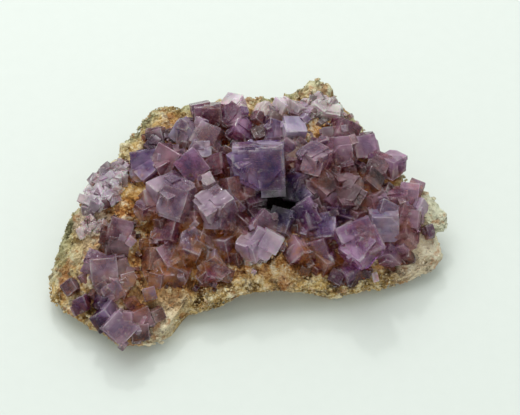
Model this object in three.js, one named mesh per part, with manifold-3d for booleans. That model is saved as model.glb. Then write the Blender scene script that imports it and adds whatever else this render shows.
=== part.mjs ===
// A hand specimen of purple fluorite: cube-shaped crystals grown over one broken slab of rock.
// Millimetres, +Z up. The origin is on the flat foot of the rock, and -Y is the side that faces the viewer.
import * as THREE from "three";
import { mergeVertices } from "three/addons/utils/BufferGeometryUtils.js";
import Module from "manifold-3d";

const wasm = await Module();
wasm.setup();

// ---------- The rock ----------

const spokes = 52; // mesh columns round the rock
const topRings = 9;
const wallRings = 3;
const footRings = 2;
const rockCentre = [-6, -4]; // every ray from here crosses the outline once
const edgeDrop = 1.8; // how far the upper face rounds off at its rim
const footShare = 0.9; // the foot's reach as a share of the outline
const ledgeDepth = 0.035; // ledges in the wall, as a share of the reach
const lumpHeight = 0.7;
const archHeight = 6; // the hollow under the front edge
const archCentre = [4, -21];
const archReach = [17, 7];
const spotSoftness = 9; // mm squared: keeps the surface round at a spot height

// The rim from above, anticlockwise from the right-hand tip.
const outline = [
  [52, 0], [49.5, 3.5], [43.5, 7], [40.5, 12], [34, 17], [31, 25], [27.5, 30.5], [23, 34.5], [19.5, 37],
  [16, 37], [14.5, 35], [8, 35], [0, 35.5], [-9.5, 34.5], [-18, 33], [-24.5, 33.5], [-27.5, 31],
  [-31, 25.5], [-34.5, 20.5], [-35.5, 16], [-39, 12.5], [-42, 9.5], [-44.5, 3], [-48, -3], [-49.5, -8],
  [-50, -11], [-52, -17], [-51, -23], [-45.5, -28], [-39, -31.5], [-33.5, -35.5], [-27, -35], [-22, -34.5],
  [-19, -29.5], [-16.5, -26.5], [-6.5, -24.5], [-0.5, -22], [10.5, -21.5], [25, -21], [33, -19],
  [39.5, -17], [47.5, -13.5], [50, -10], [49, -6], [48, -4], [51.5, -2.5],
];

// Spot heights of the upper face: x, y, z. The face falls from the back edge toward the viewer.
const spotHeights = [
  [18, 35, 21], [0, 34, 17], [-18, 31, 15.5], [-27, 29, 15], [27, 29, 16], [36, 15, 15], [44, 5, 13.5],
  [50, -2, 10], [47, -10, 8], [38, -16, 6.5], [25, -19, 7], [12, -20, 9], [0, -20, 10], [-8, -22, 9],
  [-17, -25, 7], [-24, -33, 5.5], [-33, -33, 6], [-42, -27, 7], [-49, -20, 8], [-47, -8, 11],
  [-44, 3, 12.5], [-38, 11, 14.5], [-32, 20, 15.5], [-30, 0, 15], [-15, 10, 18.5], [0, 5, 20], [15, 8, 20],
  [28, 5, 17.5], [5, -8, 16], [-15, -8, 14], [25, -9, 14], [-35, -15, 10.5], [-25, -20, 9.5],
  [10, 20, 19.5], [-10, 22, 18], [20, 22, 18.5], [38, -4, 13.5], [8, -2, 13],
];

// Knobs (height above zero) and pits (below zero): x, y, radius, height.
const knobsAndPits = [
  [18, 36, 4, 3], [-26, 31, 5, 1.2], [-43, -3, 5, 1.5], [47, 1, 5, 1.5], [-21, -33, 4, 1.2],
  [8, -17, 4, 1], [-38.5, -3.5, 2.5, -1.6], [-47, -16, 3, -1.5], [-29, 15, 2.2, -1.5], [-1, 31, 2, -1.2],
  [31, -19, 3, -1.5], [38, -15, 2.5, -1.4], [6, -19, 2.5, -1.2], [43, -12, 2.5, -1.2],
  [-46, -23, 2.5, -1.2], [8.5, 1, 3.5, -5],
];

// ---------- The crystals ----------

const socketGap = 0.3; // clearance between a crystal and its seat in the rock
const growthFrom = 9.5; // crystals at least this large carry parallel growth blocks
const growthBlocks = [
  // Centre and size of each block as shares of the crystal's size.
  { at: [0.24, -0.33, 0.21], size: 0.6 },
  { at: [-0.31, 0.22, 0.13], size: 0.6 },
];
const satelliteSize = [0.3, 0.46]; // small crystals, as shares of the crystal that carries them
const satelliteFrom = 9.5; // crystals at least this large carry a small one
const tumble = [12, 58]; // the least and the most that a tumbled crystal leans

// Each crystal: x, y, size, lift, and where it is stated the turn: lean, toward, spin. The centre lies "lift"
// sizes above the rock there. A cube turns about its own axis by "spin" degrees, and its top then leans by
// "lean" toward the compass angle "toward" (0 is +X, 90 is +Y). A crystal with no stated turn tumbles at
// random. The crystals of a group grow into each other and are one solid.
const crystalGroups = {
  main_druse: [
    // the large cubes of the middle
    [3, 7.5, 11.5, 0.25, 50, -90, 4], [-20.5, 1, 9.4, 0.2, 15, 80, 40],
    [-8.5, -3.5, 8.5, 0.3, 14, 160, 35], [28, -12, 9.4, 0.3, 20, -80, 25],
    [17, 9.5, 7, 0.2, 20, 90, 45], [35, -6, 7.5, 0.2],
    // left of the middle
    [-25.5, 0, 6.5, 0], [-20.5, -1.5, 6.5, 0], [-21.5, 12.5, 7.5, 0.1], [-27.5, 12.5, 8, 0.05, 40, -90, 8],
    [-15.5, 9.5, 7.5, 0.05, 35, -80, 40], [-8.5, 9.5, 6.5, 0], [-11, 5, 3.5, 0.35], [-3.5, 2.5, 7, -0.05],
    [-14, 3.5, 6, -0.1], [-4.5, -1, 6, -0.05], [0.5, -0.5, 5.5, -0.1], [-22, -2, 6, -0.2],
    // behind the middle
    [-11, 19, 6.5, 0.15], [-17.5, 22, 6, 0.1], [-11.5, 27, 7, 0.05, 50, -90, 2], [-4, 25.5, 6.5, 0.1],
    [-2.5, 21, 7.5, -0.05], [6.5, 20, 6, 0.05], [3.5, 19.5, 5, 0], [11.5, 20, 6, 0.15],
    [10.5, 14.5, 5, 0.1], [12.5, 10.5, 5, 0.05], [9, 29, 5, 0], [4, 28, 5, 0], [18.5, 28.5, 4.5, 0.05],
    [22, 27.5, 4.5, 0.05], [15, 27.5, 4.5, 0], [-4.5, 31, 5, 0.1], [-25, 22, 4.5, 0], [-26, 18.5, 4, 0.1],
    // right of the middle
    [13, 3, 7.5, 0], [19, 3, 6.5, 0], [25, 6, 6.5, -0.1], [25, 10.5, 6, 0],
    [23.5, 15, 7.5, 0.1, 35, -90, 6], [25, 21, 6.5, 0.1], [30.5, 17, 6, 0.25, 30, -70, 14],
    [31.5, 6, 5.5, 0.05], [27.5, 0.5, 6, -0.05], [23.5, 1, 6, -0.05], [34.5, 12, 6, 0.1],
    [38, 12.5, 5.5, 0.2, 20, 90, 45],
    [39, 1, 6.5, 0.1], [42.5, 4, 5.5, 0.15], [43.5, 0, 5.5, 0], [40.5, -3, 6, 0.05], [40, -8, 6.5, 0.05],
    [32, 0, 6, 0],
    // below the middle
    [19.5, -7, 7, 0.05], [15, -4, 7.5, 0.1], [9, -6, 6.5, 0.1], [3, -7.5, 6.5, 0.05], [3, -11.5, 7.5, 0],
    [-1.5, -6, 6, -0.05], [13, -6.5, 5, 0], [17, -1, 5.5, -0.05], [23, -3, 5.5, 0], [27.5, -3.5, 5, 0],
    [12.5, -12.5, 6, 0], [18, -12, 7, -0.05], [19.5, -15, 6, -0.05], [26, -16.5, 6, 0], [36, -11.5, 6, 0],
    [-6, -11.5, 6.5, -0.05], [-9, -15, 4.5, 0.2], [-9, -17.5, 6.5, -0.05], [-11.5, -10.5, 6, -0.1],
    [-14.5, -5, 6, -0.1], [-15.5, -12.5, 6, 0.05], [-20.5, -8, 7, 0], [-20.5, -14, 6.5, 0],
    [-24.5, -14.5, 6.5, 0], [-18.5, -17.5, 6, -0.1], [-21.5, -18, 5, -0.05],
    [-12.5, 14, 4.5, 0.3], [20, 11, 5.5, 0.1],
  ],
  left_edge_crystals: [
    [-36.5, 7.5, 4.6, 0.05, 35, -120, 30], [-39.5, 4.5, 4.2, 0.05, 50, -150, 15],
    [-41, 1, 4, 0, 30, -140, 40], [-36.5, 3, 3.8, 0.05, 35, -60, 30], [-38, 8.5, 3.6, 0.1, 20, 150, 10],
  ],
  left_crystals: [
    [-33.5, -7, 6.2, 0.15, 38, -85, -14], [-34, -11, 6, 0.05, 42, -85, -8],
    [-37.5, -17.5, 7, 0.1, 45, -80, 8], [-34.5, -23.5, 5, 0.2, 38, -100, 30],
    [-31.5, -20, 4, 0.05, 45, -60, 20],
  ],
  corner_crystals: [
    [-37, -30.5, 5, 0.1, 50, -100, 30], [-32.5, -33.5, 7, 0.35, 38, -90, 47],
    [-28, -30, 5.5, 0.15, 45, -60, 30], [-28, -33.5, 4.5, 0.1, 45, -70, 10],
  ],
  left_tip_crystal: [[-46, -21, 3.6, -0.1, 40, -120, 30]],
  left_wedge_crystal: [[-43, -26, 4.3, 0, 45, -110, 20]],
  violet_crystal: [[-25.5, -24, 3.4, 0.1, 35, -90, 15]],
  front_white_crystal: [[32.5, -18.5, 2.2, 0.1, 30, -90, 15]],
  right_notch_crystal: [[47, -5.5, 3, 0.1, 30, -60, 20]],
  left_pink_crystal: [[-43.5, -6.5, 3.2, 0, 30, -90, 25]],
};

const rockColour = 0xa08a66;
const crystalColours = { main_druse: 0x74557f, left_edge_crystals: 0xb6a7b1 };
const crystalColour = 0x84688f;

// ---------- Solids ----------

function solidOf(geometry) {
  geometry.deleteAttribute("normal");
  geometry.deleteAttribute("uv");
  const merged = mergeVertices(geometry, 1e-4);
  return new wasm.Manifold(new wasm.Mesh({
    numProp: 3,
    vertProperties: new Float32Array(merged.attributes.position.array),
    triVerts: new Uint32Array(merged.index.array),
  }));
}

function largestBody(solid) {
  const bodies = solid.decompose();
  bodies.sort((a, b) => b.volume() - a.volume());
  return bodies[0];
}

function meshOf(solid, name, colour, roughness) {
  const { vertProperties, triVerts } = solid.getMesh();
  const geometry = new THREE.BufferGeometry();
  geometry.setAttribute("position", new THREE.BufferAttribute(vertProperties, 3));
  geometry.setIndex(new THREE.BufferAttribute(triVerts, 1));
  geometry.computeVertexNormals();
  const material = new THREE.MeshStandardMaterial({ color: colour, roughness, metalness: 0 });
  const mesh = new THREE.Mesh(geometry, material);
  mesh.name = name;
  return mesh;
}

// ---------- Rock surface ----------

function rockTop(x, y) {
  let sum = 0;
  let total = 0;
  for (const [sx, sy, sz] of spotHeights) {
    const weight = ((x - sx) ** 2 + (y - sy) ** 2 + spotSoftness) ** -1.5;
    sum += weight * sz;
    total += weight;
  }
  return sum / total;
}

function lumps(x, y) {
  const broad = Math.sin(0.61 * x + 1.3 * Math.sin(0.37 * y)) * Math.cos(0.53 * y + 0.9 * Math.sin(0.41 * x));
  const fine = Math.sin(1.31 * x + 0.47 * y + 1.7) * Math.sin(1.17 * y - 0.39 * x + 0.6);
  let height = lumpHeight * (broad + 0.6 * fine);
  for (const [cx, cy, radius, rise] of knobsAndPits) {
    height += rise * Math.exp(-((x - cx) ** 2 + (y - cy) ** 2) / radius ** 2);
  }
  return height;
}

// How far the outline lies from the rock's centre in a direction.
function reach(angle) {
  const [dx, dy] = [Math.cos(angle), Math.sin(angle)];
  let farthest = 0;
  outline.forEach(([ax, ay], i) => {
    const [bx, by] = outline[(i + 1) % outline.length];
    const [ex, ey] = [bx - ax, by - ay];
    const [px, py] = [ax - rockCentre[0], ay - rockCentre[1]];
    const cross = dx * ey - dy * ex;
    if (Math.abs(cross) < 1e-9) return;
    const distance = (px * ey - py * ex) / cross;
    const along = (px * dy - py * dx) / cross;
    if (along >= -1e-9 && along <= 1 + 1e-9) farthest = Math.max(farthest, distance);
  });
  return farthest;
}

function archRise(x, y) {
  const distance = Math.hypot((x - archCentre[0]) / archReach[0], (y - archCentre[1]) / archReach[1]);
  return archHeight * Math.max(0, 1 - distance ** 2);
}

// A point of the rock's skin: "part" runs 0 to 1 over the top, 1 to 2 down the wall, 2 to 3 under the foot.
function rockPoint(angle, part) {
  const rim = reach(angle);
  const [dx, dy] = [Math.cos(angle), Math.sin(angle)];
  const at = (share) => [rockCentre[0] + dx * rim * share, rockCentre[1] + dy * rim * share];
  if (part <= 1) {
    const [x, y] = at(part ** 0.8);
    return [x, y, rockTop(x, y) + lumps(x, y) - edgeDrop * part ** 10];
  }
  if (part < 2) {
    const down = part - 1;
    const ledge = ledgeDepth * Math.sin(9 * down + 2.1 * Math.sin(7 * angle)) * Math.sin(Math.PI * down);
    const [x, y] = at(1 + (footShare - 1) * down ** 1.5 + ledge);
    const [rx, ry] = at(1);
    const low = archRise(x, y);
    const high = rockTop(rx, ry) + lumps(rx, ry) - edgeDrop;
    return [x, y, low + (high - low) * (1 - down)];
  }
  const [x, y] = at(footShare * (3 - part));
  return [x, y, archRise(x, y)];
}

function rockSolid() {
  const rows = topRings + wallRings + footRings;
  const geometry = new THREE.SphereGeometry(1, spokes, rows);
  geometry.rotateX(Math.PI / 2);
  const position = geometry.attributes.position;
  for (let i = 0; i < position.count; i++) {
    const polar = Math.acos(THREE.MathUtils.clamp(position.getZ(i), -1, 1));
    const row = Math.round((polar / Math.PI) * rows);
    const angle = Math.atan2(position.getY(i), position.getX(i));
    let part = row / topRings;
    if (row > topRings) part = 1 + (row - topRings) / wallRings;
    if (row > topRings + wallRings) part = 2 + (row - topRings - wallRings) / footRings;
    position.setXYZ(i, ...rockPoint(angle, part));
  }
  return solidOf(geometry);
}

// ---------- Crystals ----------

function randomFrom(seed) {
  let state = seed;
  return () => {
    state = (state * 16807) % 2147483647;
    return state / 2147483647;
  };
}

// Turns a crystal's own axes into the rock's.
function orientation(lean, toward, spin) {
  const rad = THREE.MathUtils.degToRad;
  const hinge = new THREE.Vector3(-Math.sin(rad(toward)), Math.cos(rad(toward)), 0);
  const leaning = new THREE.Matrix4().makeRotationAxis(hinge, rad(lean));
  return leaning.multiply(new THREE.Matrix4().makeRotationZ(rad(spin)));
}

function turnOf([, , , , lean, toward, spin], random) {
  const tumbled = [tumble[0] + (tumble[1] - tumble[0]) * random(), 360 * random(), 90 * random()];
  return lean === undefined ? orientation(...tumbled) : orientation(lean, toward, spin);
}

// The blocks of one crystal: each a centre, a size and a turn.
function blocksOf([x, y, size, lift], turn) {
  const centre = new THREE.Vector3(x, y, rockTop(x, y) + lift * size);
  const blocks = [{ centre, size, turn }];
  if (size >= growthFrom) {
    for (const growth of growthBlocks) {
      const offset = new THREE.Vector3(...growth.at).multiplyScalar(size).applyMatrix4(turn);
      blocks.push({ centre: offset.add(centre), size: growth.size * size, turn });
    }
  }
  return blocks;
}

// A small crystal set into an upper edge of a larger one.
function satelliteOf([x, y, size, lift], turn, random) {
  const own = size * (satelliteSize[0] + (satelliteSize[1] - satelliteSize[0]) * random());
  const side = Math.floor(random() * 4) * (Math.PI / 2);
  const edge = new THREE.Vector3(0.5, 0.7 * (random() - 0.5), 0.3 - 0.4 * random());
  edge.applyMatrix4(new THREE.Matrix4().makeRotationZ(side)).multiplyScalar(size).applyMatrix4(turn);
  const centre = edge.add(new THREE.Vector3(x, y, rockTop(x, y) + lift * size));
  const ownTurn = orientation(20 + 40 * random(), 360 * random(), 90 * random());
  return size < satelliteFrom ? [] : [{ centre, size: own, turn: ownTurn }];
}

function blockSolid({ centre, size, turn }, growth) {
  const edge = size + 2 * growth;
  const geometry = new THREE.BoxGeometry(edge, edge, edge);
  geometry.applyMatrix4(turn);
  geometry.translate(centre.x, centre.y, centre.z);
  return solidOf(geometry);
}

function groupBlocks(crystals, seed) {
  const random = randomFrom(seed);
  return crystals.flatMap((crystal) => {
    const turn = turnOf(crystal, random);
    return [...blocksOf(crystal, turn), ...satelliteOf(crystal, turn, random)];
  });
}

function groupSolid(blocks, growth) {
  return largestBody(blocks.map((block) => blockSolid(block, growth)).reduce((sum, next) => sum.add(next)));
}

// ---------- The specimen ----------

const specimen = new THREE.Group();
let matrix = rockSolid();
Object.entries(crystalGroups).forEach(([name, crystals], index) => {
  const blocks = groupBlocks(crystals, 101 + index);
  specimen.add(meshOf(groupSolid(blocks, 0), name, crystalColours[name] ?? crystalColour, 0.3));
  matrix = matrix.subtract(groupSolid(blocks, socketGap));
});
specimen.add(meshOf(largestBody(matrix), "matrix", rockColour, 0.95));

export default specimen;
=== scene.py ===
import math

import bmesh
import bpy
from mathutils import Matrix, Vector, noise


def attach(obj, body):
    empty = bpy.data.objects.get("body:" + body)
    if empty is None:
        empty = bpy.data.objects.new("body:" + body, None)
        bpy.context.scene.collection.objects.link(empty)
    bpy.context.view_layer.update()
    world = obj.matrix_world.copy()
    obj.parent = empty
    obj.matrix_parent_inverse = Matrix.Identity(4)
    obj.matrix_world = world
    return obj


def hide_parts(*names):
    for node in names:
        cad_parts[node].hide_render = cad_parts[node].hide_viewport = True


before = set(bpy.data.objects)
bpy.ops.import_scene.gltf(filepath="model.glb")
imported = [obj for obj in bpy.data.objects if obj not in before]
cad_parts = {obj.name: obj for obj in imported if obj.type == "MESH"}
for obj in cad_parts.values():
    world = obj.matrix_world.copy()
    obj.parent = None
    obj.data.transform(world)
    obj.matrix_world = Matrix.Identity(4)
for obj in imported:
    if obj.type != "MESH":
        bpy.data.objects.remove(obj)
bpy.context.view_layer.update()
mm = 0.001


class Wire:
    # one socket of a material that can be added, scaled and compared
    def __init__(self, tree, socket=None):
        self.tree = tree
        self.socket = socket

    def node(self, kind, settings=None, values=None, output=0):
        made = self.tree.nodes.new(kind)
        for name, value in (settings or {}).items():
            if name == "stops":
                ramp = made.color_ramp.elements
                while len(ramp) < len(value):
                    ramp.new(1.0)
                for element, (place, colour) in zip(ramp, value):
                    element.position = place
                    element.color = (*colour[:3], 1.0)
            else:
                setattr(made, name, value)
        for name, value in (values or {}).items():
            if isinstance(value, Wire):
                self.tree.links.new(value.socket, made.inputs[name])
            else:
                made.inputs[name].default_value = value
        return Wire(self.tree, made.outputs[output])

    def math(self, operation, *others):
        return self.node("ShaderNodeMath", {"operation": operation}, dict(enumerate((self, *others))))

    def flipped(self, operation, other):
        return self.node("ShaderNodeMath", {"operation": operation}, {0: other, 1: self})

    def __add__(self, other):
        return self.math("ADD", other)

    def __sub__(self, other):
        return self.math("SUBTRACT", other)

    def __mul__(self, other):
        return self.math("MULTIPLY", other)

    def __radd__(self, other):
        return self.flipped("ADD", other)

    def __rsub__(self, other):
        return self.flipped("SUBTRACT", other)

    def __rmul__(self, other):
        return self.flipped("MULTIPLY", other)

    def step(self, low, high):
        # 0 below low, 1 above high, smooth between
        settings = {"interpolation_type": "SMOOTHSTEP"}
        return self.node("ShaderNodeMapRange", settings, {"Value": self, "From Min": low, "From Max": high})

    def mixed(self, factor, other, blend="MIX"):
        # this colour, with the other one laid over it
        settings = {"data_type": "RGBA", "blend_type": blend}
        return self.node("ShaderNodeMix", settings, {0: factor, 6: self, 7: other}, 2)

    def stretched(self, *scale):
        return self.node("ShaderNodeVectorMath", {"operation": "MULTIPLY"}, {0: self, 1: scale})

    def shifted(self, amount):
        return self.node("ShaderNodeVectorMath", {"operation": "ADD"}, {0: self, 1: amount})

    def far(self, *point):
        # distance of this position from a point
        return self.node("ShaderNodeVectorMath", {"operation": "DISTANCE"}, {0: self, 1: point}, 1)

    def near(self, place, full, end):
        # 1 up to one distance from a place, 0 past the other, smooth between; in mm
        return 1 - self.far(*(c * mm for c in place)).step(full * mm, end * mm)

    def noise(self, vector, scale, detail=4.0, rough=0.55):
        values = {"Vector": vector, "Scale": scale, "Detail": detail, "Roughness": rough}
        return self.node("ShaderNodeTexNoise", None, values)

    def cells(self, vector, scale, settings=None, output="Distance"):
        return self.node("ShaderNodeTexVoronoi", settings, {"Vector": vector, "Scale": scale}, output)

    def attribute(self, name, output="Color"):
        return self.node("ShaderNodeAttribute", {"attribute_name": name}, None, output)

    def parts(self):
        # the three components of a colour or vector
        split = self.node("ShaderNodeSeparateXYZ", None, {0: self})
        return [Wire(self.tree, out) for out in split.socket.node.outputs]

    def ramp(self, *stops):
        return self.node("ShaderNodeValToRGB", {"stops": stops}, {0: self})


def newMaterial(name):
    material = bpy.data.materials.new(name)
    material.use_nodes = True
    material.node_tree.nodes.clear()
    return material, Wire(material.node_tree)


def finishMaterial(w, surface, volume=None):
    out = w.tree.nodes.new("ShaderNodeOutputMaterial")
    w.tree.links.new(surface.socket, out.inputs["Surface"])
    if volume:
        w.tree.links.new(volume.socket, out.inputs["Volume"])


def linear(*rgb):
    # a screen colour of 0 to 255 as the renderer counts it
    shares = [value / 255 for value in rgb]
    return (*(c / 12.92 if c <= 0.04045 else ((c + 0.055) / 1.055) ** 2.4 for c in shares), 1.0)


def randomFrom(seed):
    state = [seed]

    def draw():
        state[0] = state[0] * 16807 % 2147483647
        return state[0] / 2147483647
    return draw


def clamped(value):
    return max(0.0, min(1.0, value))


def between(limits, share):
    return limits[0] + (limits[1] - limits[0]) * share


def plus(pair, share):
    # the first value, and a share of the second more
    return pair[0] + pair[1] * share


def orientation(lean, toward, spin):
    # leans by an angle toward a compass direction, after a spin about the upright; in degrees
    toward = math.radians(toward)
    hinge = Vector((-math.sin(toward), math.cos(toward), 0))
    return Matrix.Rotation(math.radians(lean), 4, hinge) @ Matrix.Rotation(math.radians(spin), 4, "Z")


def quarterTurn(draw):
    # one of the four sides of an upright cube
    return Matrix.Rotation(math.floor(draw() * 4) * math.pi / 2, 4, "Z")


def meshObject(bm, name):
    mesh = bpy.data.meshes.new(name)
    bm.to_mesh(mesh)
    bm.free()
    made = bpy.data.objects.new(name, mesh)
    bpy.context.scene.collection.objects.link(made)
    return made


def dress(piece, material, replaced=None):
    piece.data.materials.clear()
    piece.data.materials.append(material)
    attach(piece, "root")
    if replaced:
        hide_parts(replaced)
    print(piece.name, len(piece.data.polygons), "faces")


rock = {
    "spokes": 430,  # mesh columns round the rock
    "topRings": 90,
    "wallRings": 104,
    "footRings": 10,
    "centre": (-6, -4),
    "ringSpread": 0.8,  # under 1 sets the rings closer toward the rim
    "edgeDrop": 1.8,
    "edgeRound": 10,  # larger keeps the drop nearer to the rim
    "footShare": 0.9,
    "wallCurve": 1.5,
    "ledgeDepth": 0.035,
    "ledges": (9, 2.1, 7),  # ledges down the wall, and how far and how often they waver round it
    "lumpHeight": 0.7,
    "fineLumps": 0.6,  # height of the fine waves, as a share of the broad ones
    "archHeight": 6,  # the hollow under the front edge
    "archCentre": (4, -21),
    "archReach": (17, 7),
    "spotSoftness": 9,
    "spotFade": -1.5,  # power by which a spot height's pull falls with distance
    # the rim seen from above: x, y
    "outline": [
        (52, 0), (49.5, 3.5), (43.5, 7), (40.5, 12), (34, 17), (31, 25), (27.5, 30.5), (23, 34.5),
        (19.5, 37), (16, 37), (14.5, 35), (8, 35), (0, 35.5), (-9.5, 34.5), (-18, 33), (-24.5, 33.5),
        (-27.5, 31), (-31, 25.5), (-34.5, 20.5), (-35.5, 16), (-39, 12.5), (-42, 9.5), (-44.5, 3),
        (-48, -3), (-49.5, -8), (-50, -11), (-52, -17), (-51, -23), (-45.5, -28), (-39, -31.5),
        (-33.5, -35.5), (-27, -35), (-22, -34.5), (-19, -29.5), (-16.5, -26.5), (-6.5, -24.5),
        (-0.5, -22), (10.5, -21.5), (25, -21), (33, -19), (39.5, -17), (47.5, -13.5), (50, -10),
        (49, -6), (48, -4), (51.5, -2.5),
    ],
    # x, y, height
    "spotHeights": [
        (18, 35, 21), (0, 34, 17), (-18, 31, 15.5), (-27, 29, 15), (27, 29, 16), (36, 15, 15), (44, 5, 13.5),
        (50, -2, 10), (47, -10, 8), (38, -16, 6.5), (25, -19, 7), (12, -20, 9), (0, -20, 10), (-8, -22, 9),
        (-17, -25, 7), (-24, -33, 5.5), (-33, -33, 6), (-42, -27, 7), (-49, -20, 8), (-47, -8, 11),
        (-44, 3, 12.5), (-38, 11, 14.5), (-32, 20, 15.5), (-30, 0, 15), (-15, 10, 18.5), (0, 5, 20),
        (15, 8, 20), (28, 5, 17.5), (5, -8, 16), (-15, -8, 14), (25, -9, 14), (-35, -15, 10.5),
        (-25, -20, 9.5), (10, 20, 19.5), (-10, 22, 18), (20, 22, 18.5), (38, -4, 13.5), (8, -2, 13),
    ],
    # x, y, radius, and how far each rises or sinks
    "knobsAndPits": [
        (18, 36, 4, 3), (-26, 31, 5, 1.2), (-43, -3, 5, 1.5), (47, 1, 5, 1.5), (-21, -33, 4, 1.2),
        (8, -17, 4, 1), (-38.5, -3.5, 2.5, -1.6), (-47, -16, 3, -1.5), (-29, 15, 2.2, -1.5),
        (-1, 31, 2, -1.2), (31, -19, 3, -1.5), (38, -15, 2.5, -1.4), (6, -19, 2.5, -1.2),
        (43, -12, 2.5, -1.2), (-46, -23, 2.5, -1.2), (8.5, 1, 3.5, -5),
    ],
}


def rockTop(x, y):
    # height of the smooth upper face, drawn between the spot heights
    total = height = 0.0
    for sx, sy, sz in rock["spotHeights"]:
        weight = ((x - sx) ** 2 + (y - sy) ** 2 + rock["spotSoftness"]) ** rock["spotFade"]
        height += weight * sz
        total += weight
    return height / total


def lumps(x, y):
    # broad and fine waves, then the knobs and pits
    broad = math.sin(0.61 * x + 1.3 * math.sin(0.37 * y)) * math.cos(0.53 * y + 0.9 * math.sin(0.41 * x))
    fine = math.sin(1.31 * x + 0.47 * y + 1.7) * math.sin(1.17 * y - 0.39 * x + 0.6)
    height = rock["lumpHeight"] * (broad + rock["fineLumps"] * fine)
    for cx, cy, radius, rise in rock["knobsAndPits"]:
        height += rise * math.exp(-((x - cx) ** 2 + (y - cy) ** 2) / radius ** 2)
    return height


def reach(angle):
    # how far the rim lies from the centre in one direction
    dx, dy = math.cos(angle), math.sin(angle)
    cx, cy = rock["centre"]
    outline = rock["outline"]
    farthest = 0.0
    for (ax, ay), (bx, by) in zip(outline, outline[1:] + outline[:1]):
        ex, ey, px, py = bx - ax, by - ay, ax - cx, ay - cy
        cross = dx * ey - dy * ex
        if abs(cross) < 1e-9:
            continue
        along = (px * dy - py * dx) / cross
        if -1e-9 <= along <= 1 + 1e-9:
            farthest = max(farthest, (px * ey - py * ex) / cross)
    return farthest


def rimShare(x, y):
    # 0 at the centre, 1 on the rim
    dx, dy = x - rock["centre"][0], y - rock["centre"][1]
    return math.hypot(dx, dy) / reach(math.atan2(dy, dx))


def archRise(x, y):
    # how far the foot is hollowed out
    away = math.hypot((x - rock["archCentre"][0]) / rock["archReach"][0],
                      (y - rock["archCentre"][1]) / rock["archReach"][1])
    return rock["archHeight"] * max(0.0, 1 - away ** 2)


def rockPoint(angle, rim, part):
    # part runs 0 to 1 over the top, 1 to 2 down the wall and 2 to 3 under the foot
    cx, cy = rock["centre"]
    dx, dy = math.cos(angle) * rim, math.sin(angle) * rim
    if part <= 1:
        share = part ** rock["ringSpread"]
        x, y = cx + dx * share, cy + dy * share
        return x, y, rockTop(x, y) + lumps(x, y) - rock["edgeDrop"] * part ** rock["edgeRound"]
    if part < 2:
        down = part - 1
        count, waver, waves = rock["ledges"]
        wave = math.sin(count * down + waver * math.sin(waves * angle))
        ledge = rock["ledgeDepth"] * wave * math.sin(math.pi * down)
        share = 1 + (rock["footShare"] - 1) * down ** rock["wallCurve"] + ledge
        x, y = cx + dx * share, cy + dy * share
        high = rockTop(cx + dx, cy + dy) + lumps(cx + dx, cy + dy) - rock["edgeDrop"]
        low = archRise(x, y)
        return x, y, low + (high - low) * (1 - down)
    share = rock["footShare"] * (3 - part)
    x, y = cx + dx * share, cy + dy * share
    return x, y, archRise(x, y)


breaks = {
    "chipSizes": ((4.2, 0.34), (1.6, 0.45), (0.8, 0.45)),  # mm across, and how far each kind of chip tilts
    "chipRise": 0.4,  # how far a chip stands proud, as a share of its tilt
    "chipStep": 3.7,  # keeps the tilts of neighbours apart
    "swell": 0.6,  # mm: slow unevenness under the chips
    "swellSize": 7,
    "hollowSize": 3.6,
    "hollowPlace": (7, 3, 5),
    "hollowFrom": 0.2,
    "hollowDepth": 5.0,
    "endPart": 1.9,  # the part of the surface where the wall turns smooth, and how fast
    "endFade": 0.2,
    "proudShade": (0.5, 0.45),  # painted shade of the smooth form, and how much lighter for each mm proud; sunken places come out darker
    "seed": 12,  # the tilts of the chips come from this
}

rind = {
    "from": 0.86,  # the part of the surface where it begins
    "border": 0.12,
    "front": -6,  # mm: where its front edge crosses the middle
    "frontTurn": 0.25,  # how far that edge comes forward toward the ends
    "frontBorder": 10,
}


def rindAt(p, part):
    # how far the weathered rind covers the rock: all round the rim, but not on the fresh front
    behind = p[1] + rind["frontTurn"] * abs(p[0]) - rind["front"]
    return clamped((part - rind["from"]) / rind["border"]) * clamped(behind / rind["frontBorder"])


def brokenDepth(p):
    # how far the broken surface stands proud of the smooth form, in mm
    depth = breaks["swell"] * noise.fractal(p / breaks["swellSize"], 1.0, 2.0, 3)
    for size, tilt in breaks["chipSizes"]:
        middle = noise.voronoi(p / size)[1][0]
        slope = noise.noise_vector(middle * breaks["chipStep"])
        depth += size * tilt * (slope.dot(p / size - middle) + breaks["chipRise"] * slope.x)
    hollow = noise.noise(p / breaks["hollowSize"] + Vector(breaks["hollowPlace"]))
    if hollow > breaks["hollowFrom"]:
        depth -= breaks["hollowDepth"] * (hollow - breaks["hollowFrom"])
    return depth


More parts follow.
